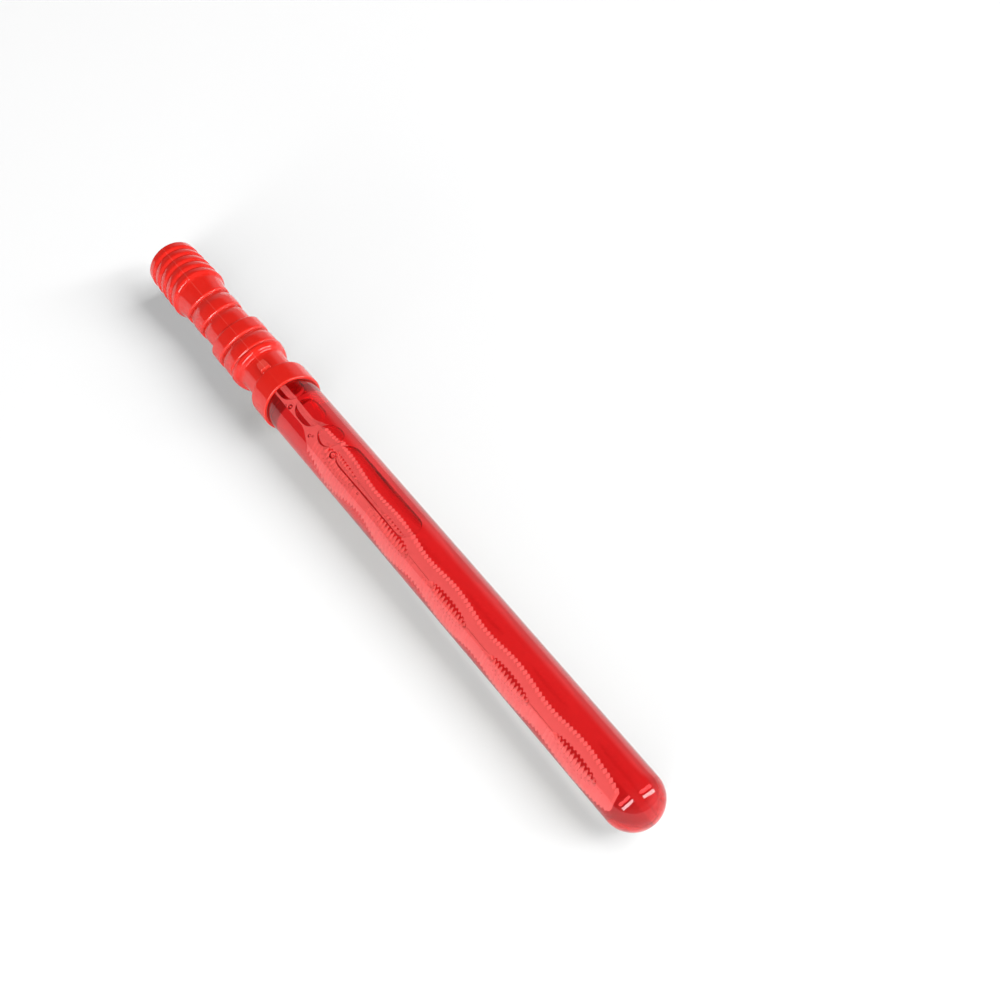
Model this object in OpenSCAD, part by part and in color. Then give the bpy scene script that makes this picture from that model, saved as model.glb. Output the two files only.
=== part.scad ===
// A bubble wand, lying closed on its side. A clear round tube holds the soap solution.
// A hollow ribbed handle, moulded in one piece with a screw collar, closes it over a seal
// ring. The wand, a flat chain of toothed loops on a stick, is plugged into the handle's
// throat, so it comes out of the tube with the handle.
//
// Lengths are in millimetres. The tube's closed tip points along +X and the handle along
// -X. The origin is under the middle of the length, on the plane that the collar rests on.
// Stations are distances from the outside of the tip, measured along the axis.

/* [Tube] */
// Outside diameter of the tube
tube_d = 25; // [23:0.5:30]
// Thickness of the tube's wall
tube_wall = 1; // [0.8:0.1:1.2]
// Length of tube that shows in front of the collar
tube_show = 268.2; // [256:0.2:320]
// Thickness of the tube's closed tip
tip_t = 2.4; // [1.2:0.1:4]
// How much narrower the tube is under the collar's skirt, on the radius
seat_step = 0.2; // [0.1:0.05:0.4]
// Length of the full tube that stays clear in front of the collar
seat_lead = 0.6; // [0.4:0.1:1.5]
// How far the wide part of the tube reaches into the collar
seat_len = 1.6; // [1:0.1:2]
// How much narrower the screw neck is than the tube, on the radius
neck_step = 1; // [0.9:0.05:1.2]
// Thickness of the screw neck's wall
neck_wall = 1.1; // [0.9:0.05:1.2]

/* [Screw thread] */
// Rise of the thread in one turn
thread_pitch = 2.6; // [2.2:0.1:2.8]
// Number of turns of each thread
thread_turns = 1.25; // [1:0.25:1.25]
// Height of the neck's thread above the neck
thread_h = 0.65; // [0.5:0.05:0.7]
// Width of a thread at its root
thread_root = 1.5; // [1.2:0.1:1.6]
// Width of a thread at its crest
thread_crest = 0.6; // [0.4:0.1:0.8]
// Gap between the crests of the two threads, on the radius
thread_clear = 0.1; // [0.06:0.01:0.15]

/* [Collar] */
// Length of the collar
collar_len = 12; // [11.5:0.5:16]
// Thickness of the collar's skirt
collar_wall = 1.2; // [1:0.1:1.6]
// Gap between the collar's skirt and the full diameter of the tube, on the radius
collar_clear = 0.2; // [0.1:0.05:0.4]
// Thickness of the collar's roof
roof_t = 1.3; // [1:0.1:1.8]
// Bevel round the collar's front rim
rim_bevel = 0.35; // [0.2:0.05:0.5]
// Rounding of the collar's back edge
collar_round = 0.8; // [0.4:0.1:1]
// Thickness of the seal ring
seal_t = 1; // [0.8:0.1:1.4]
// Gap on each side of the seal ring
seal_gap = 0.05; // [0.02:0.01:0.1]

/* [Handle] */
// How far the handle's bare neck lies under the tube's radius
throat_under = 1.9; // [1.5:0.1:2.2]
// Thickness of the handle's wall
handle_wall = 1.3; // [1:0.1:1.5]
// Length of the handle's bare neck
throat_len = 13.1; // [11:0.1:16]
// Length of the plain ring at the front of the thick part
shoulder_len = 4.3; // [4:0.1:6]
// How far the plain ring stands over the tube's radius
shoulder_over = 0.7; // [0.5:0.1:1.3]
// Number of raised chevrons in the thick part of the handle
swell_count = 2; // [1:1:4]
// Length of each chevron in the thick part
swell_pitch = 9.8; // [9:0.2:12]
// How far the thick part stands over the tube's radius
swell_over = 0.3; // [0:0.1:0.5]
// Number of chevrons in the slim part of the handle
slim_count = 2; // [1:1:4]
// Length of each chevron in the slim part
slim_pitch = 12.45; // [10:0.05:14]
// How far a slim chevron lies under the tube's radius
slim_under = 1.6; // [1:0.1:1.9]
// Height of the step at the end of each chevron
ledge_h = 1; // [0.6:0.1:1.2]
// How far each chevron's point runs towards the handle's end
chevron_rise = 4.9; // [2:0.1:5.5]
// Length of the flank between the last chevron and the rings
flank_len = 12.4; // [11:0.2:16]
// Number of round rings at the handle's end
ring_count = 5; // [3:1:7]
// Distance from one ring to the next
ring_pitch = 5.6; // [4.5:0.1:7]
// How far the ring nearest the flank stands over the tube's radius
ring_over = 0.4; // [0:0.1:1]
// How much smaller the last ring is, on the radius
ring_taper = 0.9; // [0:0.1:1.5]
// Depth of the grooves between the rings
ring_groove = 0.6; // [0.3:0.1:0.9]
// Length past the crest of the last ring
end_len = 3.6; // [2.6:0.2:6]
// Rounding of the handle's flat end
end_round = 1.6; // [0.8:0.1:2]
// Direction of the mould's parting line, from straight up towards -Y
parting_turn = 21.5; // [0:0.5:45]

/* [Boss] */
// Length of the locking boss behind the collar
boss_len = 5.4; // [4:0.2:6.5]
// Width of the boss
boss_w = 4.8; // [3.5:0.1:6]
// Height of the boss above the handle's neck
boss_h = 1.5; // [0.8:0.1:2.2]
// Space between the collar and the boss
boss_gap = 2.8; // [1.5:0.1:3.5]
// Rounding of the boss's two corners away from the collar
boss_round = 1.6; // [0.6:0.1:1.7]

/* [Wand] */
// Number of loops on the wand
loop_count = 5; // [2:1:5]
// Distance from one loop's middle to the next
loop_pitch = 45.7; // [40:0.1:47]
// Space between the inside of the tube's tip and the wand's blunt end
wand_gap = 10.7; // [8:0.1:18]
// Length from the wand's blunt end to the middle of the first loop
loop_tail = 24; // [20:0.5:26]
// Width of the wand at the waists between its loops, as a share of a loop's width
waist_share = 0.73; // [0.5:0.01:0.85]
// Width of the wand's blunt end, as a share of a loop's width
end_share = 0.6; // [0.5:0.01:0.9]
// Thickness of the wand
wand_t = 2.6; // [2:0.1:3]
// Distance from one tooth to the next, on the edges and in the slots
tooth_pitch = 2.3; // [2:0.1:3]
// Depth of the teeth along the wand's edges
tooth_h = 0.5; // [0.2:0.1:0.7]
// Length of each slot
slot_len = 28; // [20:1:32]
// Width of each slot between the roots of its teeth
slot_w = 5.2; // [4:0.1:5.4]
// Length of the comb teeth in the slots
comb_h = 1.5; // [0.8:0.1:1.6]
// Width of the stick that carries the loops
stick_w = 3; // [2.4:0.1:4]
// How far the wand bows away from the axis, as a share of the room in the screw neck
bow_share = 0.56; // [0:0.01:0.58]
// Length over which the bow grows
bow_len = 185; // [120:5:200]
// Direction of the bow, from straight up towards -Y
bow_turn = 70.5; // [0:0.5:180]
// Gap left between the wand and the screw neck as the wand comes out
wand_clear = 0.4; // [0.3:0.05:0.8]
// Length of the plug in the handle's throat
plug_len = 8; // [5:0.5:11]
// Thickness of the plug's skirt and face
plug_wall = 1.4; // [1:0.1:2]
// Gap round the plug, on the radius
plug_clear = 0.04; // [0.02:0.01:0.08]

/* [Hidden] */
$fn = 96;
red_plastic = [0.91, 0.2, 0.15];
clear_red = [0.85, 0.1, 0.12, 0.45];
natural_plastic = [0.95, 0.93, 0.9];
grey_foam = [0.85, 0.85, 0.83];

// One overrun serves all the cuts, and raised forms are sunk into their walls
cut = 1;
sink = 0.4;
tip_steps = 24;
arc_steps = 8;
thread_steps = 48;

tube_r = tube_d / 2;
tube_in = tube_r - tube_wall;
seat_r = tube_r - seat_step;
neck_r = tube_r - neck_step;
neck_in = neck_r - neck_wall;
crest_r = neck_r + thread_h;

collar_in = tube_r + collar_clear;
collar_r = collar_in + collar_wall;
nut_r = (crest_r + thread_clear) / cos(180 / thread_steps);
throat_r = tube_r - throat_under;
throat_in = throat_r - handle_wall;

// Stations from the tip
collar_front = tube_show;
collar_back = collar_front + collar_len;
roof_in = collar_back - roof_t;
mouth = roof_in - seal_t - 2 * seal_gap;
seat_from = collar_front - seat_lead;
seat_to = collar_front + seat_len;
neck_from = seat_to + neck_step - seat_step;
thread_from = neck_from + thread_root / 2;
shoulder_from = collar_back + throat_len;
swell_from = shoulder_from + shoulder_len;
slim_from = swell_from + swell_count * swell_pitch;
flank_from = slim_from + slim_count * slim_pitch;
rings_from = flank_from + flank_len;
last_crest = rings_from + (ring_count - 0.5) * ring_pitch;
handle_end = last_crest + end_len;

// Radii along the handle
shoulder_r = tube_r + shoulder_over;
swell_r = tube_r + swell_over;
swell_low = swell_r - ledge_h;
slim_r = tube_r - slim_under;
slim_low = slim_r - 1.2 * ledge_h;
ring_r = tube_r + ring_over;
ring_end_r = ring_r - ring_taper;

// The wand's half width just clears the screw neck when the wand is drawn out
wand_reach = neck_in - wand_clear;
wand_bow = wand_reach * bow_share;
loop_half = sqrt(pow(wand_reach, 2) - pow(wand_bow + wand_t / 2, 2));
waist_half = loop_half * waist_share;
wand_end = tip_t + wand_gap;
first_loop = wand_end + loop_tail;
stick_from = first_loop + (loop_count - 0.5) * loop_pitch;
plug_from = roof_in;
plug_r = throat_in - plug_clear;

// Turns a form built along +Z from the tip, with +X up, into its lying place
module lay() {
  translate([handle_end / 2, 0, collar_r])
    rotate([0, -90, 0])
      children();
}

// A quarter round between two points of a profile, bulging away from the centre given
function round_from(centre, r, from_a, to_a) =
  [for (i = [0:arc_steps]) let (a = from_a + (to_a - from_a) * i / arc_steps)
    [centre[0] + r * cos(a), centre[1] + r * sin(a)]];

// The profile of a round tip, from its pole on the axis to its full radius
function dome(r, pole) =
  [for (i = [0:tip_steps]) let (a = 90 * i / tip_steps)
    [r * sin(a), pole + r - r * cos(a)]];

// A thread's section is swept round the axis, a little higher with each step. side is 1
// for a thread that stands out of a wall and -1 for one that stands into a bore.
module thread(wall_r, tip_r, side, from) {
  steps = round(thread_turns * thread_steps);
  fade_steps = 4;
  root_r = wall_r - side * sink;
  rings = [for (i = [0:steps])
    let (
      a = 360 * i / thread_steps,
      z = from + thread_pitch * i / thread_steps,
      fade = min(1, (i + 1) / fade_steps, (steps - i + 1) / fade_steps),
      half_crest = thread_crest / 2,
      half_root = thread_root / 2,
      r = wall_r + (tip_r - wall_r) * fade
    )
    [[root_r, z - half_root], [r, z - half_crest], [r, z + half_crest], [root_r, z + half_root]]];
  points = [for (i = [0:steps]) let (a = 360 * i / thread_steps)
    for (p = rings[i]) [p[0] * cos(a), p[0] * sin(a), p[1]]];
  walls = [for (i = [0:steps - 1]) for (j = [0:3])
    let (k = (j + 1) % 4, b = 4 * i, c = 4 * (i + 1))
    each [[b + j, c + k, b + k], [b + j, c + j, c + k]]];
  ends = [[0, 1, 2], [0, 2, 3], [4 * steps, 4 * steps + 2, 4 * steps + 1],
    [4 * steps, 4 * steps + 3, 4 * steps + 2]];
  faces = concat(walls, ends);
  polyhedron(points, side > 0 ? faces : [for (f = faces) [f[2], f[1], f[0]]]);
}

// The tube, with its round thick tip and its screw neck
module tube() {
  inside = dome(tube_in, tip_t);
  wall = concat(
    dome(tube_r, 0),
    [[tube_r, seat_from], [seat_r, seat_from + seat_step], [seat_r, seat_to], [neck_r, neck_from],
     [neck_r, mouth], [neck_in, mouth], [neck_in, neck_from], [tube_in, seat_to - neck_step]],
    [for (i = [tip_steps:-1:0]) inside[i]]);
  color(clear_red)
    lay()
      union() {
        rotate_extrude()
          polygon(wall);
        thread(neck_r, crest_r, 1, thread_from);
      }
}

// A solid of revolution from a profile of radius and station points, filled to the axis
module turned(profile) {
  rotate_extrude()
    polygon(concat([[0, profile[0][1]]], profile, [[0, profile[len(profile) - 1][1]]]));
}

// The space on the handle's side of a chevron edge. The edge's two points lie on the
// mould's sides, and it dips to its station on the parting line.
module above_chevron(station, r) {
  far = 2 * r;
  tall = 2 * handle_end;
  rotate([90, 0, 0])
    linear_extrude(height = 4 * r, center = true)
      polygon([[0, station + chevron_rise], [far, station - chevron_rise], [far, tall],
        [-far, tall], [-far, station - chevron_rise]]);
}

// A chevron's profile: it swells from its step to its full radius and falls to the next step
function chevron_profile(station, pitch, from_r, full_r, to_r, lead) = concat(
  [[from_r, station - lead]],
  [for (i = [0:arc_steps / 2]) let (t = 0.45 * i / (arc_steps / 2))
    [from_r + (full_r - from_r) * sin(200 * t), station + pitch * t]],
  [[full_r, station + pitch * 0.55], [to_r, station + pitch], [to_r, station + pitch + chevron_rise + sink]]);

module chevron(station, pitch, full_r, to_r) {
  from_r = full_r - 0.3 * ledge_h;
  intersection() {
    turned(chevron_profile(station, pitch, from_r, full_r, to_r, cut));
    above_chevron(station, full_r);
  }
}

// The collar's outside, the bare neck and the plain ring
module collar_and_neck() {
  fillet_r = throat_r + sink;
  turned(concat(
    [[collar_r - rim_bevel, collar_front], [collar_r, collar_front + rim_bevel]],
    round_from([collar_r - collar_round, collar_back - collar_round], collar_round, 0, 90),
    [[throat_r, collar_back], [throat_r, shoulder_from - sink], [fillet_r, shoulder_from],
     [shoulder_r - 2 * sink, shoulder_from + 2 * sink], [shoulder_r, shoulder_from + shoulder_len / 2],
     [shoulder_r, swell_from - sink], [swell_low, swell_from],
     [swell_low, swell_from + chevron_rise + sink]]));
}

// The thick part's chevrons end in one wide step down to the slim part
module swell() {
  difference() {
    for (i = [0:swell_count - 1])
      chevron(swell_from + i * swell_pitch, swell_pitch, swell_r,
        i < swell_count - 1 ? swell_low : swell_r - sink);
    above_chevron(slim_from, swell_r);
  }
}

// The slim part's chevrons. The first one starts inside the thick part.
module slim() {
  turned(chevron_profile(slim_from, slim_pitch, slim_r - ledge_h, slim_r - ledge_h / 2, slim_low,
    swell_pitch / 2));
  if (slim_count > 1)
    for (i = [1:slim_count - 1])
      chevron(slim_from + i * slim_pitch, slim_pitch, slim_r, slim_low);
}

// The radius over the rings at a station: a round crest in every pitch, tapering to the end
function ring_outline(i) =
  let (t = i / arc_steps, u = 2 * (t - floor(t)) - 1)
  ring_r - (ring_r - ring_end_r) * t / ring_count - ring_groove * u * u;

// The flank, the rounded rings and the flat end
module rings() {
  flank_start = slim_r - 0.5 * ledge_h;
  crest_step = round((ring_count - 0.5) * arc_steps);
  end_r = ring_outline(crest_step);
  intersection() {
    turned(concat(
      [[flank_start, flank_from - cut], [slim_r, flank_from + flank_len * 0.5],
       [slim_r + ledge_h / 2, flank_from + flank_len * 0.8]],
      [for (i = [0:crest_step]) [ring_outline(i), rings_from + ring_pitch * i / arc_steps]],
      round_from([end_r - end_round, handle_end - end_round], end_round, 0, 90)));
    above_chevron(flank_from, slim_r);
  }
}

// The boss on the parting line, with two corners rounded
module boss() {
  half = boss_w / 2;
  translate([0, 0, collar_back + boss_gap])
    rotate([90, 0, 90])
      linear_extrude(height = throat_r + boss_h)
        polygon(concat([[-half, 0], [half, 0]],
          round_from([half - boss_round, boss_len - boss_round], boss_round, 0, 90),
          round_from([boss_round - half, boss_len - boss_round], boss_round, 90, 180)));
}

// The handle's hollow follows the outside, one wall in
module handle_hollow() {
  swell_in = swell_low - handle_wall;
  slim_in = slim_low - handle_wall;
  ring_in = ring_end_r - ring_groove - handle_wall;
  turned([[throat_in, roof_in - cut], [throat_in, shoulder_from], [swell_in, swell_from],
    [swell_in, slim_from - 2 * handle_wall], [slim_in, slim_from], [slim_in, flank_from + chevron_rise],
    [ring_in, rings_from], [ring_in, handle_end - handle_wall - end_round],
    [ring_in - end_round, handle_end - handle_wall]]);
}

// The handle: collar, neck, boss, chevrons, rings and flat end in one moulding
module handle() {
  color(red_plastic)
    lay()
      rotate([0, 0, -parting_turn])
        union() {
          difference() {
            union() {
              collar_and_neck();
              swell();
              slim();
              rings();
              boss();
            }
            translate([0, 0, collar_front - cut])
              cylinder(r = collar_in, h = roof_in - collar_front + cut);
            handle_hollow();
          }
          thread(collar_in, nut_r, -1, thread_from + thread_pitch / 2);
        }
}

// The ring that the collar presses on the tube's mouth
module seal_ring() {
  color(grey_foam)
    lay()
      translate([0, 0, mouth + seal_gap])
        difference() {
          cylinder(r = collar_in - collar_clear, h = seal_t);
          translate([0, 0, -cut])
            cylinder(r = neck_in, h = seal_t + 2 * cut);
        }
}

// Half the wand's width at a station, without its teeth. It swings from loop to waist, and
// tapers to the blunt end.
function wand_half(z) =
  let (swing = 0.5 + 0.5 * cos(360 * (z - first_loop) / loop_pitch), half_pitch = loop_pitch / 2)
  z < first_loop - half_pitch / 2
    ? loop_half * (end_share + (1 - end_share) * sin(90 * (z - wand_end) / (loop_tail - half_pitch / 2)) * 0.9)
    : waist_half + (loop_half - waist_half) * swing;

// Half the width of a slot at a distance from its middle, to the roots of its teeth
function slot_half(d) = slot_w / 2 * sqrt(max(0, 1 - pow(2 * d / slot_len, 2)));

// The wand's outline, with a tooth at every pitch along both edges
module wand_outline() {
  rows = floor((stick_from - wand_end) / tooth_pitch);
  right = [for (i = [0:rows]) let (z = wand_end + i * tooth_pitch)
    each [[wand_half(z), z], [wand_half(z + tooth_pitch / 2) - tooth_h, z + tooth_pitch / 2]]];
  neck = [[stick_w, stick_from + tooth_pitch], [stick_w / 2, stick_from + 3 * tooth_pitch],
    [stick_w / 2, plug_from + plug_wall / 2]];
  half = concat(right, neck);
  polygon(concat(half, [for (i = [len(half) - 1:-1:0]) [-half[i][0], half[i][1]]]));
}

// One slot, with comb teeth along both sides
module slot(middle) {
  rows = floor(slot_len / tooth_pitch / 2) - 1;
  tooth_w = tooth_pitch * 0.6;
  difference() {
    polygon(concat(
      [for (i = [-arc_steps:arc_steps]) let (d = slot_len / 2 * sin(90 * i / arc_steps))
        [slot_half(d), middle + d]],
      [for (i = [arc_steps - 1:-1:1 - arc_steps]) let (d = slot_len / 2 * sin(90 * i / arc_steps))
        [-slot_half(d), middle + d]]));
    for (i = [-rows:rows], side = [-1, 1]) {
      d = i * tooth_pitch;
      root = slot_half(d) + sink;
      tip = max(slot_half(d) - comb_h, comb_h / 4);
      translate([0, middle + d])
        polygon([[side * tip, -tooth_w / 4], [side * root, -tooth_w / 2], [side * root, tooth_w / 2],
          [side * tip, tooth_w / 4]]);
    }
  }
}

// How far the wand has bowed from the axis at a station
function bow(z) = wand_bow * (1 - cos(180 * min(1, max(0, (plug_from - z) / bow_len)))) / 2;

// The band that the bowed wand fills, seen from its edge
module wand_edge() {
  rows = 20;
  tall = plug_from - wand_end + 2 * cut;
  lines = [for (i = [0:rows]) let (z = wand_end - cut + tall * i / rows) [bow(z), z]];
  polygon(concat([for (p = lines) [p[0] + wand_t / 2, p[1]]],
    [for (i = [rows:-1:0]) [lines[i][0] - wand_t / 2, lines[i][1]]]));
}

// The wand, with the plug that holds it in the handle's throat
module wand() {
  wide = 4 * tube_r;
  color(natural_plastic)
    lay()
      rotate([0, 0, -bow_turn])
        union() {
          intersection() {
            rotate([90, 0, 90])
              linear_extrude(height = wide, center = true)
                difference() {
                  wand_outline();
                  for (i = [0:loop_count - 1])
                    slot(first_loop + i * loop_pitch);
                }
            rotate([90, 0, 0])
              linear_extrude(height = wide, center = true)
                wand_edge();
          }
          difference() {
            translate([0, 0, plug_from])
              cylinder(r = plug_r, h = plug_len);
            translate([0, 0, plug_from + plug_wall])
              cylinder(r = plug_r - plug_wall, h = plug_len);
          }
        }
}

tube();
handle();
wand();
seal_ring();
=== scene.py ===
# The looks of a bubble wand that lies closed on a pale table: a clear red tube of soap
# solution with air bubbles, a pale wand inside it and a glossy red ribbed handle.
#
# Lengths in the tables below are in millimetres. Stations are measured along the axis from
# the outside of the tube's closed tip, and angles round the axis from straight up towards
# -Y. place() turns both into the frame's metres.

import math

import bpy
import numpy as np
from mathutils import Matrix, Vector

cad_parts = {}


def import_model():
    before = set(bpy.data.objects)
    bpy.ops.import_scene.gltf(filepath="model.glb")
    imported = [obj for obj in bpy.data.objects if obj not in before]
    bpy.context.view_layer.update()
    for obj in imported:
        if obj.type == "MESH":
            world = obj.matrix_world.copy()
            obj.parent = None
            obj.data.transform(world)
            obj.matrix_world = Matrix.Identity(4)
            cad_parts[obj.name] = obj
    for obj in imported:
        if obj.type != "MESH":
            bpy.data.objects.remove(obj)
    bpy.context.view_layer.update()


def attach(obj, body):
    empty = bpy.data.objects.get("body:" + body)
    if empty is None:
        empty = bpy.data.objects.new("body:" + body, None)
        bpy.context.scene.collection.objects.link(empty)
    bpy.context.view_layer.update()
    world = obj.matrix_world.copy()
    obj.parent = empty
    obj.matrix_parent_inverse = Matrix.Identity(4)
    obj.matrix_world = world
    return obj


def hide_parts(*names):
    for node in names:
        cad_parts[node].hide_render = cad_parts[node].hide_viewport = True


MM = 0.001

# Overall sizes, the same as in the solids
LENGTH = 383.3
AXIS_Z = 13.9
TUBE_R = 12.5
TUBE_IN = 11.5
TIP_T = 2.4
SEAT_R, SEAT_FROM, SEAT_TO = 12.3, 267.6, 269.8
NECK_R, NECK_IN, NECK_FROM = 11.5, 10.4, 270.6
MOUTH = 277.8
THREAD_PITCH, THREAD_TURNS = 2.6, 1.25
THREAD_HALF, THREAD_FLANK = 0.75, 0.4
NECK_THREAD_H, NECK_THREAD_FROM = 0.65, 271.35
COLLAR_IN, COLLAR_THREAD_H, COLLAR_THREAD_FROM = 12.7, 0.43, 272.65
ROOF, THROAT_IN = 278.9, 9.3
PARTING = math.radians(21.5)

# Wand
BOW, BOW_LEN, BOW_TURN = 5.6, 185.0, math.radians(70.5)
LEAN, LEAN_FROM = 1.8, 120.0
LOOP_HALF, WAIST_HALF = 7.24, 5.29
LOOP_PITCH, LOOP_COUNT = 45.7, 5
WAND_END, FIRST_LOOP, STICK_FROM = 13.1, 37.1, 242.75
WAND_T = 2.6
TOOTH = 2.3
SLOT_HALF, SLOT_LEN = 2.6, 28.0


def place(station, radius, angle):
    """Points in the frame, in metres, from the tables' stations and radii and angles in radians."""
    s, r, a = np.broadcast_arrays(station, radius, angle)
    return np.stack(
        [LENGTH / 2 - s, -r * np.sin(a), AXIS_Z + r * np.cos(a)], axis=-1
    ).astype(float) * MM


# Meshes


def mesh_object(name, points, faces, crease=None):
    """A smooth-shaded object. Edges that turn by more degrees than a given crease are sharp."""
    me = bpy.data.meshes.new(name)
    me.from_pydata([tuple(p) for p in points], [], faces)
    me.validate()
    me.update()
    ob = bpy.data.objects.new(name, me)
    bpy.context.scene.collection.objects.link(ob)
    me.polygons.foreach_set("use_smooth", [True] * len(me.polygons))
    if crease is not None:
        me.set_sharp_from_angle(angle=math.radians(crease))
    return ob


def turned(profile, cols):
    """Rings of points from a (station, radius) profile that is turned about the axis."""
    angle = np.linspace(0, 2 * math.pi, cols, endpoint=False)[None, :]
    return place(profile[:, :1], profile[:, 1:], angle)


def grid_parts(grid, closed_rows=False, flip=False):
    """Points and faces of rows of rings. Rows that aren't closed end in a point at each end."""
    rows, cols = grid.shape[:2]
    points = grid.reshape(-1, 3)
    i = np.arange(rows if closed_rows else rows - 1)[:, None]
    j = np.arange(cols)[None, :]
    k = (j + 1) % cols
    n = (i + 1) % rows
    quads = np.stack(
        [i * cols + j, i * cols + k, n * cols + k, n * cols + j], axis=-1
    ).reshape(-1, 4)
    faces = [tuple(int(v) for v in q) for q in quads]
    if not closed_rows:
        ends = [grid[0].mean(axis=0), grid[-1].mean(axis=0)]
        points = np.vstack([points, ends])
        a, b = len(points) - 2, len(points) - 1
        last = (rows - 1) * cols
        faces += [(a, (c + 1) % cols, c) for c in range(cols)]
        faces += [(b, last + c, last + (c + 1) % cols) for c in range(cols)]
    if flip:
        faces = [f[::-1] for f in faces]
    return points, faces


def joined(parts):
    """One set of points and faces from several."""
    points, faces, base = [], [], 0
    for p, f in parts:
        points.append(p)
        faces += [tuple(v + base for v in face) for face in f]
        base += len(p)
    return np.vstack(points), faces


def rounded(corners, steps=4):
    """A profile from corners of (station, radius, length over which the corner turns)."""
    pts = [np.array(c[:2], float) for c in corners]
    out = [pts[0]]
    for i in range(1, len(pts) - 1):
        p, a, b = pts[i], pts[i - 1], pts[i + 1]
        la, lb = np.linalg.norm(a - p), np.linalg.norm(b - p)
        # Two corners that share a short side each take less than half of it
        cut = min(corners[i][2], 0.48 * la, 0.48 * lb)
        if cut <= 0:
            out.append(p)
            continue
        p0, p1 = p + (a - p) / la * cut, p + (b - p) / lb * cut
        for t in np.linspace(0, 1, steps + 1):
            out.append((1 - t) ** 2 * p0 + 2 * t * (1 - t) * p + t * t * p1)
    out.append(pts[-1])
    return np.array(out)


def resampled(profile, gap):
    """The profile with more points, so that no two are farther apart than the gap."""
    out = [profile[0]]
    for a, b in zip(profile[:-1], profile[1:]):
        n = max(1, math.ceil(np.linalg.norm(b - a) / gap))
        out += [a + (b - a) * t for t in np.linspace(0, 1, n + 1)[1:]]
    return np.array(out)


def dome(radius, pole, steps=40):
    """Station and radius from a round tip's pole to its full radius, without the pole itself."""
    a = np.linspace(0, math.pi / 2, steps + 1)[1:]
    return np.stack([pole + radius * (1 - np.cos(a)), radius * np.sin(a)], axis=-1)


def helix_bump(station, angle, start, height):
    """Height of a screw thread at each point of a wall, fading in and out at its ends."""
    turn = np.mod(angle, 2 * math.pi) / (2 * math.pi)
    out = np.zeros(np.broadcast(station, angle).shape)
    for lap in range(math.ceil(THREAD_TURNS) + 1):
        along = turn + lap
        crest = start + THREAD_PITCH * along
        fade = np.clip(np.minimum(along, THREAD_TURNS - along) / 0.06, 0, 1)
        shape = np.clip((THREAD_HALF - np.abs(station - crest)) / THREAD_FLANK, 0, 1)
        out = np.maximum(out, height * fade * shape * shape * (3 - 2 * shape))
    return out


# Tube

# (station, radius, rounding) from the outside of the dome, round the mouth and back inside
TUBE_WALL = [
    (TUBE_R, TUBE_R, 0), (SEAT_FROM, TUBE_R, 0.15), (SEAT_FROM + 0.2, SEAT_R, 0.1),
    (SEAT_TO, SEAT_R, 0.3), (NECK_FROM, NECK_R, 0.3), (MOUTH, NECK_R, 0.3),
    (MOUTH, NECK_IN, 0.2), (NECK_FROM, NECK_IN, 0.5), (SEAT_TO - 1, TUBE_IN, 0.5),
    (TIP_T + TUBE_IN, TUBE_IN, 0),
]
TUBE_COLS = 192
NECK_MIDDLE = (NECK_R + NECK_IN) / 2
THREAD_GAP, PLAIN_GAP = 0.16, 4


def make_tube():
    body = rounded(TUBE_WALL)
    fine = []
    for a, b in zip(body[:-1], body[1:]):
        on_thread = a[0] >= NECK_FROM and a[1] > NECK_MIDDLE
        fine.append(resampled(np.array([a, b]), THREAD_GAP if on_thread else PLAIN_GAP)[1:])
    outline = np.vstack([dome(TUBE_R, 0), *fine, dome(TUBE_IN, TIP_T)[::-1][1:]])
    station, radius = outline[:, :1], outline[:, 1:]
    angle = np.linspace(0, 2 * math.pi, TUBE_COLS, endpoint=False)[None, :]
    bump = helix_bump(station, angle, NECK_THREAD_FROM, NECK_THREAD_H) * (radius > NECK_MIDDLE)
    return mesh_object("clear_tube", *grid_parts(place(station, radius + bump, angle), flip=True))


# Handle

RINGS_FROM, RING_PITCH, RING_COUNT = 354.5, 5.6, 5
RING_CREST, RING_TAPER, RING_STEPS = 12.9, 0.95, 24
# How steep a ring is, in degrees, at places along its pitch
RING_PLACES, RING_SLOPES = [0, 0.25, 1.05, 1.5, RING_PITCH], [43, 39, 34, 0, -21]
CHEVRON_RISE = 4.9
# Where the chevrons' lean fades in, is full and fades out again
CHEVRON_PLACES, CHEVRON_SHARES = [290.0, 296.5, 342.1, 352.6], [0, 1, 1, 0]
# Stations of the feet of the four steps, and each step's slopes in degrees over equal lengths
LEDGES = 297.5, 307.55, 329.45, 341.95
LEDGE_SLOPES, LEDGE_PART = (44, 43, 42, 38, 36.5, 35, 18), 0.12
NECK_OUT = 10.6
BOSS_FROM, BOSS_TO, BOSS_H = 283.2, 288.8, 1.45
BOSS_HALF, BOSS_TAPER = 2.45, 0.65
# Lengths of the boss's slanted sides: across, towards the collar and towards the shoulder
BOSS_SIDE, BOSS_FRONT, BOSS_BACK = 0.38, 0.3, 0.45
# The parting line is lower on the collar and stops short of the end's face
PARTING_H, PARTING_HALF, PARTING_TO = 0.09, 0.2, 382
COLLAR_SHARE, COLLAR_FROM, COLLAR_TO = 0.25, 268.5, 280.1
# The longest gaps between rows, of which the fine ones are under the boss and on steep faces
FINE_GAP, COARSE_GAP, CAP_GAP, HOLLOW_GAP, BORE_GAP = 0.18, 1.0, 1.2, 2.0, 0.24
# The mesh's layer that says how much of the paler colour each point has, which is mostly painted
# highlight
HIGHLIGHT_AND_LINE_LAYER = "painted_highlight_and_pale_line"
# That share as painted highlight on the ledges all round, more on their tops, on the rim and on the
# boss, and as a paler parting line
LEDGE_HIGHLIGHT, TOP_HIGHLIGHT, RIM_HIGHLIGHT, LINE_PALE, BOSS_HIGHLIGHT = 0.08, 0.2, 0.25, 0.2, 0.2
HIGHLIGHT_WIDTH = 0.2


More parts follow.
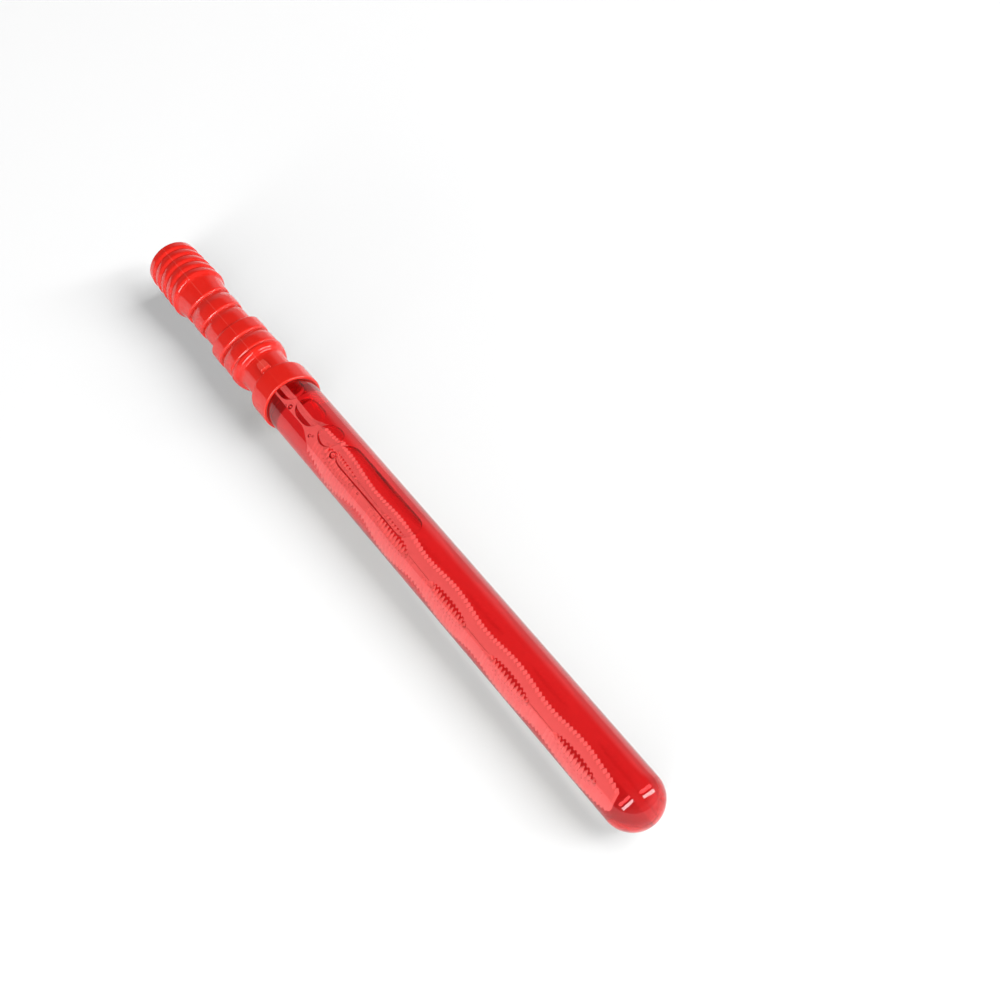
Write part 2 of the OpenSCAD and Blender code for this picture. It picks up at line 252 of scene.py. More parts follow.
def ledge(station, low, high):
    """Corners of a step with a sharp foot, a slanted face and a rounded crest."""
    slopes = [math.radians(a) for a in LEDGE_SLOPES]
    turns = [(LEDGE_PART * math.cos(a), LEDGE_PART * math.sin(a)) for a in slopes]
    corners = [(station, low, 0), (station + 0.1, high - sum(up for _, up in turns), 0)]
    for forward, up in turns:
        s, r, _ = corners[-1]
        corners.append((s + forward, r + up, 0))
    return corners


# (station on the parting line, radius, rounding) from the collar's rim to the first ring
HANDLE_OUTSIDE = [
    (268.2, 12.95, 0), (268.2, 13.5, 0.12), (268.62, 13.88, 0.25), (280.2, 13.86, 0.9),
    (280.2, NECK_OUT, 0.3), (292.9, NECK_OUT, 0.9), (294.0, 12.35, 0.8), (295.3, 13.15, 0.8),
    (296.5, 13.15, 0.5), (297.25, 12.1, 0.3), *ledge(LEDGES[0], 11.45, 12.75),
    (300.0, 12.85, 1.0), (304.0, 12.75, 1.5), *ledge(LEDGES[1], 11.45, 12.75),
    (310.0, 12.85, 1.0), (315.6, 12.8, 0.5), (317.9, 10.4, 0.4), (322.0, 10.5, 1.5),
    (325.5, 10.45, 1.5), *ledge(LEDGES[2], 9.5, 10.85), (332.0, 10.95, 1.0),
    (336.0, 11.0, 1.5), *ledge(LEDGES[3], 9.5, 10.85), (346.3, 10.95, 1.5),
    (350.5, 11.25, 1.0), (353.4, 11.5, 0.8), (354.4, 11.95, 0.1),
]
# The same from the inside of the end back to the rim. The bore has a finer profile of its own
HANDLE_INSIDE = [
    (381.9, 0.6, 0), (381.9, 8.6, 0.8), (380.4, 10.1, 0.8), (354.5, 10.1, 1.5),
    (347.0, 8.4, 1.5), (317.2, 8.4, 1.0), (314.6, 10.5, 1.0), (297.6, 10.5, 1.5),
    (293.3, THROAT_IN, 1.0), (ROOF, THROAT_IN, 0), (ROOF, COLLAR_IN, 0.2), (268.2, COLLAR_IN, 0.1),
]
COLLAR_BORE = np.array([[277.9, COLLAR_IN], [269.4, COLLAR_IN]])
COLLAR_RIM = [[268.4, COLLAR_IN], [268.2, 12.75]]


def ring_rows():
    """Stations and radii over the rings, each with a slanted face to the collar and a long fall."""
    part = np.arange(RING_STEPS + 1) / RING_STEPS * RING_PITCH
    slope = np.radians(np.interp(part, RING_PLACES, RING_SLOPES))
    rise = np.cumsum(np.tan(slope)) * RING_PITCH / RING_STEPS
    rise -= rise[0] + (rise[-1] - rise[0]) * part / RING_PITCH
    t = np.arange(0, int((RING_COUNT - 0.5) * RING_STEPS) + 1)
    crest = RING_CREST - RING_TAPER * t / RING_STEPS / RING_COUNT
    radius = crest - rise.max() + rise[t % RING_STEPS]
    return np.stack([RINGS_FROM + RING_PITCH * t / RING_STEPS, radius], axis=-1)


def handle_columns():
    """Angles from the parting line, closer together at the line and the boss."""
    degrees = set(np.round(np.arange(0, 360, 2.5), 3))
    degrees |= set(np.round(np.arange(-19, 20, 1.0) % 360, 3))
    for middle in (0, 180):
        for d in (0.5, 0.8, 1.2, 1.6):
            degrees |= {round((middle + side * d) % 360, 3) for side in (-1, 1)}
    return np.radians(np.array(sorted(degrees)))[None, :]


def boss_height(station, theta):
    """Height of the locking boss over the neck. It is wider at its collar side."""
    across = np.abs(np.arctan2(np.sin(theta), np.cos(theta))) * NECK_OUT
    half = BOSS_HALF - BOSS_TAPER * np.clip((station - BOSS_FROM) / 5.5, 0, 1) ** 3
    side = np.clip((half - across) / BOSS_SIDE, 0, 1)
    front = np.clip((station - BOSS_FROM) / BOSS_FRONT, 0, 1)
    back = np.clip((BOSS_TO - station) / BOSS_BACK, 0, 1)
    rise = np.minimum(side, np.minimum(front, back))
    return BOSS_H * rise * rise * (3 - 2 * rise)


def grip_rows():
    """The outside up to the rings."""
    parts = []
    coarse = rounded(HANDLE_OUTSIDE)
    near, far = (np.array([x, NECK_OUT]) for x in (282.9, 289.3))
    for a, b in zip(coarse[:-1], coarse[1:]):
        if 280.2 < a[0] < near[0] and b[0] > far[0]:
            spans = (a, near, COARSE_GAP), (near, far, FINE_GAP), (far, b, COARSE_GAP)
            parts += [resampled(np.array(ends), gap)[:-1] for *ends, gap in spans]
        else:
            gap = FINE_GAP if a[0] == b[0] else COARSE_GAP
            parts.append(resampled(np.array([a, b]), gap)[:-1])
    return np.vstack([*parts, coarse[-1:]])


def handle_outline():
    """Stations and radii from the end to the collar and back inside, and which ones are outside."""
    rings = ring_rows()
    last_s, last_r = rings[-1]
    cap = rounded([
        (last_s, last_r, 0), (381.9, last_r - 0.15, 0.9), (382.95, last_r - 1.5, 0.7),
        (383.28, 5.0, 2.0), (LENGTH, 0.4, 0)], steps=6)
    outside = np.vstack([grip_rows(), rings, resampled(cap, CAP_GAP)[1:]])
    inside = resampled(rounded(HANDLE_INSIDE), HOLLOW_GAP)
    bore = resampled(COLLAR_BORE, BORE_GAP)
    inside = np.vstack([inside[inside[:, 0] > bore[0, 0]], bore, COLLAR_RIM])
    outline = np.vstack([outside[::-1], inside[::-1]])
    is_out = np.arange(len(outline))[:, None] < len(outside)
    return outline[:, :1], outline[:, 1:], is_out


def painted_highlight_and_pale_line(station, theta, is_out, line, seam, boss):
    """How much of the paler colour each point has: painted highlight on the ledges, the collar's
    rim and the boss, and a paler parting line.
    """
    highlights = sum(np.exp(-((station - at - 0.25) / HIGHLIGHT_WIDTH) ** 2) for at in LEDGES) * is_out
    # Painted highlight on the ledges, stronger towards the parting line
    highlights = highlights * (LEDGE_HIGHLIGHT + TOP_HIGHLIGHT * np.clip(np.cos(theta), 0, 1) ** 3)
    highlights = highlights + RIM_HIGHLIGHT * np.exp(-((station - COLLAR_FROM) / HIGHLIGHT_WIDTH) ** 2) * is_out
    return np.clip(highlights * (1 - line) + LINE_PALE * seam + BOSS_HIGHLIGHT * boss, 0, 1)


def make_handle():
    theta = handle_columns()
    station, radius, is_out = handle_outline()
    follow = np.interp(station, CHEVRON_PLACES, CHEVRON_SHARES) * is_out
    along = station + CHEVRON_RISE * follow * (1 - np.abs(np.cos(theta)))
    line = np.exp(-((radius * np.sin(theta) / PARTING_HALF) ** 2)) * is_out
    on_collar = (station > COLLAR_FROM) & (station < COLLAR_TO)
    seam = line * np.where(on_collar, COLLAR_SHARE, 1.0) * (station < PARTING_TO)
    boss = boss_height(station, theta) * is_out
    thread = helix_bump(station, theta - PARTING, COLLAR_THREAD_FROM, COLLAR_THREAD_H) * ~is_out
    full_r = radius + (PARTING_H * seam + boss) - thread
    ob = mesh_object("handle_grip", *grid_parts(place(along, full_r, theta + PARTING)), crease=50)
    # The paler colour is painted highlight on the ledges, rim and boss, and a paler parting line
    highlight_and_line_share = painted_highlight_and_pale_line(station, theta, is_out, line, seam, boss)
    layer = ob.data.attributes.new(HIGHLIGHT_AND_LINE_LAYER, "FLOAT", "POINT")
    layer.data.foreach_set("value", np.append(highlight_and_line_share.ravel(), [0, 0]))
    return ob


# Wand

# Half width at the free end and its growth towards the first loop, as shares of LOOP_HALF
END_SHARE, END_GROWTH = 0.58, 0.28
# (part of a tooth's pitch from its middle, how far it lies in from the edge)
EDGE_TOOTH = (-0.48, 0.9), (-0.07, 0.0), (0.07, 0.0), (0.48, 0.9)
# (half width, station) where the last loop narrows to the stick
STICK = [(3.2, STICK_FROM + 1.5), (2.0, STICK_FROM + 4.5), (1.5, STICK_FROM + 7.0), (1.5, 279.6)]
# How far the comb teeth reach into a slot from its two sides, and what they leave of its half width
SHORT_TEETH, LONG_TEETH, SLOT_LEAST = 0.8, 2.2, 0.3
LEAST_TOOTH, SLOT_TIP = 0.4, 0.2
# The flat's rounded edge, the height of the bars on its faces and their length into it
BEVEL, BAR_H, BAR_ROOT = 0.14, 0.3, 0.5
# The ribs lie across the rims, so many teeth either side of a loop's middle, clear of slot and edge
RIB_ROWS, RIB_HALF, RIB_TAPER = 8, 0.62, 0.25
RIB_IN, RIB_OUT, LEAST_RIB = 0.5, 0.75, 0.8
# The spines lie along the middle, from so far past a loop's middle
SPINE_FROM, SPINE_HALF, SPINE_TAPER = 14.6, 0.45, 0.15
# (station, radius, rounding) round the hollow plug
PLUG = [
    (278.95, 0.4, 0), (278.95, 9.24, 0.3), (286.9, 9.24, 0.3), (286.9, 7.85, 0.3),
    (280.3, 7.85, 0.4), (280.3, 0.4, 0),
]
PLUG_GAP, PLUG_COLS = 1.5, 64


def wand_half(z):
    """Half the width of the wand's flat at a station."""
    if z < FIRST_LOOP - LOOP_PITCH / 4:
        span = FIRST_LOOP - LOOP_PITCH / 4 - WAND_END
        growth = math.sin(math.pi / 2 * (z - WAND_END) / span)
        return LOOP_HALF * (END_SHARE + END_GROWTH * growth)
    swing = 0.5 + 0.5 * math.cos(2 * math.pi * (z - FIRST_LOOP) / LOOP_PITCH)
    return WAIST_HALF + (LOOP_HALF - WAIST_HALF) * swing


def slot_half(d):
    """Half the width of a slot at a distance along it from its middle."""
    return SLOT_HALF * math.sqrt(max(0.0, 1 - (2 * d / SLOT_LEN) ** 2))


def wand_edge():
    """The outline of the wand's flat, with its teeth, as (across, station) points."""
    rows = int((STICK_FROM - WAND_END) / TOOTH)
    right = [(wand_half(WAND_END) - 0.5, WAND_END)]
    for i in range(rows):
        z = WAND_END + (i + 0.5) * TOOTH
        for dz, down in EDGE_TOOTH:
            y = z + dz * TOOTH
            right.append((wand_half(y) - down, y))
    right += STICK
    return right + [(-x, y) for x, y in reversed(right)]


def slot_side(middle, reach):
    """One side of a slot, with comb teeth that reach into it."""
    half_len = SLOT_LEN / 2
    side = [(SLOT_TIP, middle - half_len)]
    rows = int(half_len / TOOTH)
    for i in range(-rows, rows + 1):
        d = i * TOOTH
        root = slot_half(d)
        tip = max(root - reach, SLOT_LEAST)
        if root - tip < LEAST_TOOTH:
            side.append((root, middle + d))
            continue
        before, after = slot_half(d - 0.7), slot_half(d + 0.7)
        tooth = (-0.3, before), (-0.13, tip + 0.1), (0.0, tip), (0.13, tip + 0.1), (0.3, after)
        side += [(x, middle + d + dz * TOOTH) for dz, x in tooth]
    return side + [(SLOT_TIP, middle + half_len)]


def slot_edge(middle):
    """One slot. The comb teeth on its lower side are the long ones."""
    upper, lower = slot_side(middle, SHORT_TEETH), slot_side(middle, LONG_TEETH)
    return upper + [(-x, y) for x, y in reversed(lower)]


def welded(points, faces):
    """The same surface with the points that lie in one place made one."""
    _, first, index = np.unique(
        np.round(points, 4), axis=0, return_index=True, return_inverse=True)
    index = index.reshape(-1)
    out = []
    for face in faces:
        ids = [int(index[v]) for v in face]
        ids = [v for k, v in enumerate(ids) if v != ids[k - 1]]
        if len(ids) > 2:
            out.append(tuple(ids))
    return points[first], out


def flat_plate(name, loops, thickness, bevel):
    """A plate with holes from closed outlines, with rounded edges, lying in XY."""
    curve = bpy.data.curves.new(name, "CURVE")
    curve.dimensions = "2D"
    curve.fill_mode = "BOTH"
    curve.extrude = thickness / 2 - bevel
    curve.bevel_depth = bevel
    curve.bevel_resolution = 2
    curve.offset = -bevel
    for loop in loops:
        spline = curve.splines.new("POLY")
        spline.points.add(len(loop) - 1)
        for p, (x, y) in zip(spline.points, loop):
            p.co = (x, y, 0, 1)
        spline.use_cyclic_u = True
    holder = bpy.data.objects.new(name, curve)
    bpy.context.scene.collection.objects.link(holder)
    bpy.context.view_layer.update()
    me = bpy.data.meshes.new_from_object(holder)
    points = np.array([v.co for v in me.vertices]).reshape(-1, 3)
    faces = [tuple(p.vertices) for p in me.polygons]
    bpy.data.objects.remove(holder)
    bpy.data.meshes.remove(me)
    return welded(points, faces)


def low_bar(across, along, face, taper):
    """A bar on one face of the wand's flat. Its top is narrower than its foot by the taper."""
    corners = np.array([(x, y, z) for x in (-1, 1) for y in (-1, 1) for z in (-1, 1)], float)
    quads = [(0, 1, 3, 2), (4, 6, 7, 5), (0, 4, 5, 1), (2, 3, 7, 6), (0, 2, 6, 4), (1, 5, 7, 3)]
    top = corners[:, 2] * face > 0
    spans = []
    for axis, (start, end) in ((0, across), (1, along)):
        half = (end - start) / 2 - np.where(top, taper, 0)
        spans.append((start + end) / 2 + corners[:, axis] * half)
    height = face * (WAND_T / 2 + np.where(top, 0.0, -BAR_ROOT))
    return np.stack([*spans, height], axis=-1), quads


def rib_boxes():
    """Low bars on both faces, across the rims beside the slots and along between the slots."""
    parts = []
    for loop in range(LOOP_COUNT):
        middle = FIRST_LOOP + loop * LOOP_PITCH
        for face in (-1, 1):
            if loop < LOOP_COUNT - 1:
                start, end = middle + SPINE_FROM, middle + LOOP_PITCH - SPINE_FROM
                parts.append(low_bar((-SPINE_HALF, SPINE_HALF), (start, end), face, SPINE_TAPER))
            for i in range(-RIB_ROWS, RIB_ROWS + 1):
                d = i * TOOTH
                at = middle + d
                inner, outer = slot_half(d) + RIB_IN, wand_half(at) - RIB_OUT
                if outer - inner > LEAST_RIB and at > WAND_END + 1:
                    along = at - RIB_HALF, at + RIB_HALF
                    parts.append(low_bar((-outer, -inner), along, face, RIB_TAPER))
    return joined(parts)


def bow(z):
    """How far the wand has bent off the axis. Its last loops lean a little farther to the wall."""
    t = np.clip((ROOF - z) / BOW_LEN, 0, 1)
    lean = LEAN * np.clip((LEAN_FROM - z) / LEAN_FROM, 0, 1)
    return BOW * (1 - np.cos(math.pi * t)) / 2 + lean


def bent(points):
    """The flat wand's (across, station, thickness) points, bowed and turned into the frame."""
    across, station, thick = points[:, 0], points[:, 1], points[:, 2]
    out = thick + bow(station)
    y = -out * math.sin(BOW_TURN) + across * math.cos(BOW_TURN)
    z = out * math.cos(BOW_TURN) + across * math.sin(BOW_TURN)
    return np.stack([LENGTH / 2 - station, y, AXIS_Z + z], axis=-1) * MM


def make_wand():
    loops = [wand_edge()] + [slot_edge(FIRST_LOOP + i * LOOP_PITCH) for i in range(LOOP_COUNT)]
    plate = flat_plate("wand_flat", loops, WAND_T - 2 * BAR_H, BEVEL)
    points, faces = joined([plate, rib_boxes()])
    plug = grid_parts(turned(resampled(rounded(PLUG), PLUG_GAP), PLUG_COLS), flip=True)
    return mesh_object("wand_loops", *joined([(bent(points), faces), plug]), crease=40)


# Seal

# (station, radius, rounding) round the ring's section
SEAL = [
    (277.86, 11.4, 0), (277.86, 12.48, 0.15), (278.84, 12.48, 0.15), (278.84, 10.42, 0.15),
    (277.86, 10.42, 0.15), (277.86, 11.3, 0),
]
SEAL_COLS = 96


def make_seal():
    rings = turned(rounded(SEAL), SEAL_COLS)
    return mesh_object("seal_foam", *grid_parts(rings, closed_rows=True, flip=True))


# Soap solution and its air bubbles

# The solution overlaps the tube's wall by BITE, and leaves a FILM between the wall and its bubbles
FILM, BITE = 0.06, 0.05
SHELL_COLS = 160
# (first station, last station, half width, middle's angle from up in degrees)
LONG_BUBBLES = [
    (161.8, 221.6, 5.6, 10), (224.2, 237.0, 5.3, 10), (239.4, 256.2, 5.3, 10),
    (258.6, 277.6, 5.2, 8),
]
# (station, angle from up in degrees, radius)
ROUND_BUBBLES = [
    (222.0, 33.5, 1.6), (197.6, 46.0, 0.5), (257.4, 35.0, 1.1), (259.6, 41.0, 0.6),
    (238.4, 44.0, 0.8), (236.6, 39.0, 0.55),
]
# A long bubble's depth in its middle, how far its rim hangs from the wall, and how its floor curves
BUBBLE_DEPTH, BUBBLE_RIM, BUBBLE_ARCH = 1.9, 0.12, 1.1


def sphere_grid(rows, cols):
    """Heights from -1 to 1 without the poles, as a column, and angles round them, as a row."""
    t = np.cos(np.linspace(math.pi, 0, rows + 2)[1:-1])[:, None]
    return t, np.linspace(0, 2 * math.pi, cols, endpoint=False)[None, :]


def bubble(first, last, half, degrees):
    """A long bubble against the tube's wall, with a thin rounded rim, as a cavity."""
    t, psi = sphere_grid(96, 72)
    mid, reach = (first + last) / 2, (last - first) / 2
    cap = min(reach, half * 1.25)
    inset = np.clip((np.abs(t) * reach - (reach - cap)) / cap, 0, 1)
    full = np.sqrt(np.clip(1 - inset ** 2, 0, 1))
    across = half * full * np.cos(psi)
    wall = TUBE_IN - FILM
    rim = np.sqrt(wall ** 2 - (half * full) ** 2) - BUBBLE_RIM * full
    lid = np.sqrt(wall ** 2 - across ** 2)
    up = np.sin(psi)
    floor = rim - BUBBLE_DEPTH * full * np.abs(up) ** BUBBLE_ARCH
    out = np.where(up > 0, rim + (lid - rim) * np.clip(np.abs(up) * 3, 0, 1), floor)
    return cavity(mid + t * reach, across, out, degrees)


def round_bubble(station, degrees, size):
    """A small round bubble against the tube's wall, as a cavity."""
    t, psi = sphere_grid(20, 32)
    ring = size * np.sqrt(1 - t * t)
    out = TUBE_IN - FILM - size + ring * np.sin(psi)
    return cavity(station + t * size, ring * np.cos(psi), out, degrees)


def cavity(station, across, out, degrees):
    """A bubble's shell from its stations and its places across and out from the axis."""
    angle = np.arctan2(-across, out) + math.radians(degrees)
    return grid_parts(place(station, np.hypot(across, out), angle))


def make_solution():
    wall = TUBE_IN + BITE
    body = [(station, wall) for station in (60.0, 120.0, 200.0, 268.8)]
    neck = [(NECK_FROM, NECK_IN + 0.03), (277.7, NECK_IN - BITE), (277.75, 9.0), (277.75, 1.0)]
    outline = np.vstack([dome(wall, TIP_T - BITE), body, neck])
    shell = grid_parts(turned(outline, SHELL_COLS), flip=True)
    cavities = [bubble(*b) for b in LONG_BUBBLES] + [round_bubble(*b) for b in ROUND_BUBBLES]
    points, faces = joined([shell, *cavities])
    ob = mesh_object("soap_solution", points, faces)
    # The bubbles have the second material
    count = len(shell[1])
    ob.data.polygons.foreach_set("material_index", [0] * count + [1] * (len(faces) - count))
    return ob


# Materials

# The scales of the noise are per metre, and the colours are linear
PLASTIC_IOR, SOLUTION_IOR = 1.5, 1.36
# In metres
BUMP_H, GLOW_DEPTH = 0.0002, 0.001
# The colour mix node's sockets
MIX_FAC, MIX_LOW, MIX_HIGH, MIX_OUT = 0, 6, 7, 2


def material(name):
    m = bpy.data.materials.new(name)
    m.use_nodes = True
    nodes, links = m.node_tree.nodes, m.node_tree.links
    return m, nodes, links, nodes["Principled BSDF"]


def noise(nodes, links, scale, detail=3.0, stretch=(1, 1, 1)):
    where = nodes.new("ShaderNodeTexCoord")
    turn = nodes.new("ShaderNodeMapping")
    turn.inputs["Scale"].default_value = stretch
    tex = nodes.new("ShaderNodeTexNoise")
    tex.inputs["Scale"].default_value = scale
    tex.inputs["Detail"].default_value = detail
    links.new(where.outputs["Object"], turn.inputs["Vector"])
    links.new(turn.outputs["Vector"], tex.inputs["Vector"])
    return tex.outputs["Fac"]


def mapped(nodes, links, fac, low, high):
    node = nodes.new("ShaderNodeMapRange")
    node.inputs["To Min"].default_value = low
    node.inputs["To Max"].default_value = high
    links.new(fac, node.inputs["Value"])
    return node.outputs["Result"]


def varied(nodes, links, fac, low, high):
    node = nodes.new("ShaderNodeMix")
    node.data_type = "RGBA"
    node.inputs[MIX_LOW].default_value = (*low, 1)
    node.inputs[MIX_HIGH].default_value = (*high, 1)
    links.new(fac, node.inputs[MIX_FAC])
    return node.outputs[MIX_OUT]


def mottled(nodes, links, shader, scale, low, high):
    """A colour that wanders between two."""
    colour = varied(nodes, links, noise(nodes, links, scale), low, high)
    links.new(colour, shader.inputs["Base Color"])


def brushed(nodes, links, shader, scale, low, high):
    """A roughness that wanders between two."""
    rough = mapped(nodes, links, noise(nodes, links, scale), low, high)
    links.new(rough, shader.inputs["Roughness"])


def bumped(nodes, links, shader, strength, *pattern):
    """A fine relief. The pattern is what noise() takes."""
    node = nodes.new("ShaderNodeBump")
    node.inputs["Strength"].default_value = strength
    node.inputs["Distance"].default_value = BUMP_H
    links.new(noise(nodes, links, *pattern), node.inputs["Height"])
    links.new(node.outputs["Normal"], shader.inputs["Normal"])


def through_lamps(nodes, links, shader, tint):
    """Clear matter that lets the lamps' light through. It dims only the light that goes in."""
    path = nodes.new("ShaderNodeLightPath")
    clear = nodes.new("ShaderNodeBsdfTransparent")
    side = nodes.new("ShaderNodeNewGeometry")
    dimmed = varied(nodes, links, side.outputs["Backfacing"], (tint, tint, tint), (1, 1, 1))
    links.new(dimmed, clear.inputs["Color"])
    mix = nodes.new("ShaderNodeMixShader")
    links.new(path.outputs["Is Shadow Ray"], mix.inputs[0])
    links.new(shader.outputs[0], mix.inputs[1])
    links.new(clear.outputs[0], mix.inputs[2])
    links.new(mix.outputs[0], nodes["Material Output"].inputs["Surface"])


def tube_material():
    m, nodes, links, p = material("clear_red")
    mottled(nodes, links, p, 12, (0.90, 0.107, 0.115), (0.93, 0.118, 0.126))
    p.inputs["Transmission Weight"].default_value = 1.0
    p.inputs["IOR"].default_value = PLASTIC_IOR
    brushed(nodes, links, p, 40, 0.0, 0.03)
    bumped(nodes, links, p, 0.02, 60, 2, (0.2, 1, 1))
    through_lamps(nodes, links, p, 0.97)
    return m


def solution_material(name, tint):
    m, nodes, links, p = material(name)
    p.inputs["Base Color"].default_value = (1, 1, 1, 1)
    p.inputs["Transmission Weight"].default_value = 1.0
    p.inputs["Roughness"].default_value = 0.0
    p.inputs["IOR"].default_value = SOLUTION_IOR
    through_lamps(nodes, links, p, tint)
    return m


def handle_material():
    m, nodes, links, p = material("red_plastic")
    darker, lighter = (0.66, 0.016, 0.010), (0.71, 0.020, 0.013)
    plain = varied(nodes, links, noise(nodes, links, 18), darker, lighter)
    highlight_attr = nodes.new("ShaderNodeAttribute")
    highlight_attr.attribute_name = HIGHLIGHT_AND_LINE_LAYER
    highlight_and_line_share = nodes.new("ShaderNodeMath")
    highlight_and_line_share.operation = "MULTIPLY"
    links.new(highlight_attr.outputs["Fac"], highlight_and_line_share.inputs[0])
    links.new(mapped(nodes, links, noise(nodes, links, 90), 0.15, 0.75), highlight_and_line_share.inputs[1])
    # The plain colour takes the place of the black one. The pale pink is the painted highlight
    # colour
    tint = varied(nodes, links, highlight_and_line_share.outputs[0], (0, 0, 0), (0.95, 0.30, 0.24))
    links.new(plain, tint.node.inputs[MIX_LOW])
    links.new(tint, p.inputs["Base Color"])
    brushed(nodes, links, p, 70, 0.03, 0.06)
    p.inputs["IOR"].default_value = PLASTIC_IOR
    p.inputs["Subsurface Weight"].default_value = 0.2
    p.inputs["Subsurface Radius"].default_value = (1.0, 0.2, 0.12)
    p.inputs["Subsurface Scale"].default_value = GLOW_DEPTH
    bumped(nodes, links, p, 0.05, 220, 2)
    return m


def wand_material():
    m, nodes, links, p = material("natural_plastic")
    mottled(nodes, links, p, 60, (0.86, 0.80, 0.71), (0.91, 0.86, 0.78))
    brushed(nodes, links, p, 90, 0.4, 0.55)
    bumped(nodes, links, p, 0.08, 400, 2)
    return m


def seal_material():
    m, nodes, links, p = material("grey_foam")
    mottled(nodes, links, p, 300, (0.60, 0.60, 0.58), (0.75, 0.75, 0.72))
    brushed(nodes, links, p, 200, 0.8, 0.95)
    bumped(nodes, links, p, 0.4, 2500, 3)
    return m


def table_material():
    m, nodes, links, p = material("pale_table")
    mottled(nodes, links, p, 3, (0.90, 0.90, 0.90), (0.92, 0.92, 0.92))
    p.inputs["Roughness"].default_value = 0.9
    return m


# Studio

CAMERA_AT = Vector((608.877, -325.439, 696.973)) * MM
CAMERA_RIGHT = Vector((0.537755, 0.843068, -0.00747))
CAMERA_UP = Vector((-0.589032, 0.382027, 0.712107))
CAMERA_AHEAD = Vector((-0.603209, 0.378539, -0.702031))
# The table touches the tube's tip and the collar, so it tilts a little along the length
TABLE_NORMAL = Vector((-0.005572, 0.0, 0.999984))
TABLE_POINT = Vector((179.22, 0.0, 1.39)) * MM
# In metres
TABLE_HALF, LAMP_FAR = 6.0, 5.0
# Light crosses many walls on its way through the tube, the solution and the bubbles
BOUNCES, CLEAR_BOUNCES = 96, 64
# (name, where it is seen from the object, its long side, size in metres, watts, seen in the gloss)
LAMPS = [
    ("left_strip", (0.558, -0.694, 0.456), (0.183, 0.544, 0.631), (0.85, 4.5), 150, True),
    ("right_strip", (0.579, 0.594, 0.559), (0.356, -0.64, 0.391), (0.85, 4.5), 140, True),
    ("main_box", (0.1, 0.6, 0.79), (1, 0, 0), (3.8, 3.8), 172, False),
    ("low_box", (0.45, -0.89, 0.09), (1, 0, 0), (1.0, 5.0), 140, False),
]


def make_camera():
    data = bpy.data.cameras.new("camera")
    data.lens = 85.0
    data.sensor_width = 36.0
    data.clip_start = 0.01
    data.clip_end = 50.0
    ob = bpy.data.objects.new("camera", data)
    turn = Matrix((CAMERA_RIGHT, CAMERA_UP, -CAMERA_AHEAD)).transposed()
    ob.matrix_world = Matrix.Translation(CAMERA_AT) @ turn.to_4x4()
    bpy.context.scene.collection.objects.link(ob)
    bpy.context.scene.camera = ob


def make_table():
    me = bpy.data.meshes.new("table_top")
    signs = (-1, -1), (1, -1), (1, 1), (-1, 1)
    me.from_pydata([(TABLE_HALF * x, TABLE_HALF * y, 0) for x, y in signs], [], [(0, 1, 2, 3)])
    ob = bpy.data.objects.new("table_top", me)
    ob.rotation_mode = "QUATERNION"
    ob.rotation_quaternion = TABLE_NORMAL.to_track_quat("Z", "Y")
    ob.location = TABLE_POINT
    bpy.context.scene.collection.objects.link(ob)
    me.materials.append(table_material())


def lamp(name, towards, long_side, size, power, mirrored):
    """A softbox that faces the object."""
    data = bpy.data.lights.new(name, "AREA")
    data.shape = "RECTANGLE"
    data.size, data.size_y = size
    data.energy = power
    ob = bpy.data.objects.new(name, data)
    back = Vector(towards).normalized()
    side = Vector(long_side)
    side = (side - back * side.dot(back)).normalized()
    across = side.cross(back).normalized()
    turn = Matrix((across, side, back)).transposed()
    ob.matrix_world = Matrix.Translation(back * LAMP_FAR) @ turn.to_4x4()
    ob.visible_glossy = ob.visible_transmission = mirrored
    bpy.context.scene.collection.objects.link(ob)


def ramped(nodes, links, value, start, end, low, high):
    """A soft step from low to high as the value goes from start to end."""
    node = nodes.new("ShaderNodeMapRange")
    node.interpolation_type = "SMOOTHSTEP"
    for name, number in (("From Min", start), ("From Max", end), ("To Min", low), ("To Max", high)):
        node.inputs[name].default_value = number
    links.new(value, node.inputs["Value"])
    return node.outputs["Result"]


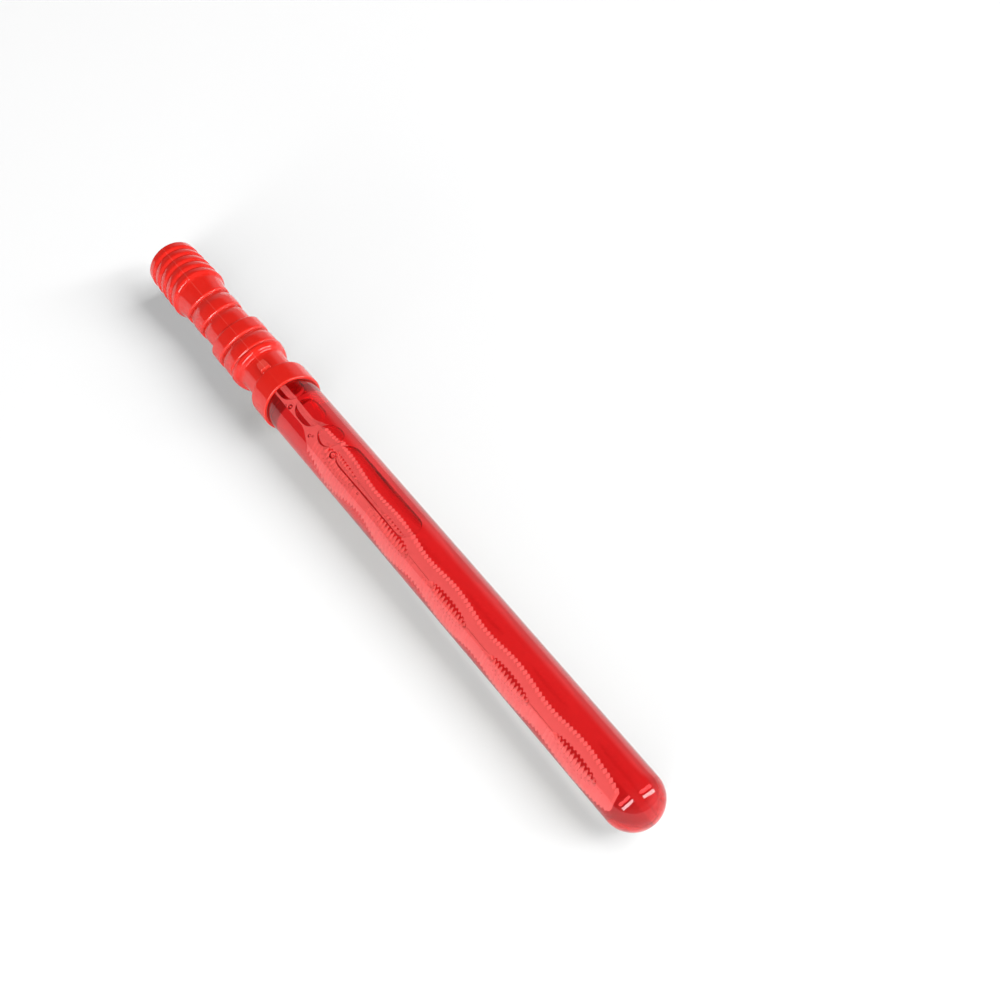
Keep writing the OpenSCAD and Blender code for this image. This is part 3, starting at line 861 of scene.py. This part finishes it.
def make_world():
    """A dim studio with pale walls low down on the right and behind the camera."""
    world = bpy.data.worlds.new("studio")
    world.use_nodes = True
    nodes, links = world.node_tree.nodes, world.node_tree.links
    where = nodes.new("ShaderNodeTexCoord")
    split = nodes.new("ShaderNodeSeparateXYZ")
    links.new(where.outputs["Generated"], split.inputs[0])
    low = ramped(nodes, links, split.outputs["Z"], 0.30, 0.62, 1, 0)
    right = ramped(nodes, links, split.outputs["Y"], 0.0, 0.6, 0.10, 0.50)
    front = ramped(nodes, links, split.outputs["X"], -0.1, 0.4, 0.03, 0.15)
    both = nodes.new("ShaderNodeMath")
    both.operation = "MULTIPLY_ADD"
    links.new(low, both.inputs[0])
    links.new(right, both.inputs[1])
    links.new(front, both.inputs[2])
    back = nodes["Background"]
    back.inputs["Color"].default_value = (1, 1, 1, 1)
    links.new(both.outputs[0], back.inputs["Strength"])
    bpy.context.scene.world = world


def make_lights(unseen_by_diffuse):
    for values in LAMPS:
        lamp(*values)
    make_world()
    scene = bpy.context.scene
    scene.view_settings.view_transform = "Standard"
    scene.cycles.max_bounces = BOUNCES
    scene.cycles.glossy_bounces = BOUNCES
    scene.cycles.transmission_bounces = BOUNCES
    scene.cycles.transparent_max_bounces = CLEAR_BOUNCES
    scene.cycles.caustics_reflective = False
    # Diffuse light passes the red and clear parts untinted, so that the table's shadow stays grey
    for ob in unseen_by_diffuse:
        ob.visible_diffuse = False


def dress(ob, mat, body, node):
    """Gives a piece its material and says what it rides on and which solid it replaces, if any."""
    ob.data.materials.append(mat)
    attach(ob, body)
    if node:
        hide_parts(node)


def main():
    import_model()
    tube, handle, solution = make_tube(), make_handle(), make_solution()
    dress(tube, tube_material(), "tube_body", "tube")
    dress(handle, handle_material(), "handle_body", "handle")
    dress(make_wand(), wand_material(), "handle_body", "wand")
    dress(make_seal(), seal_material(), "seal_body", "seal_ring")
    dress(solution, solution_material("soap_solution", 0.18), "tube_body", None)
    solution.data.materials.append(solution_material("bubble_skin", 1.0))
    make_table()
    make_camera()
    make_lights((tube, handle, solution))


main()
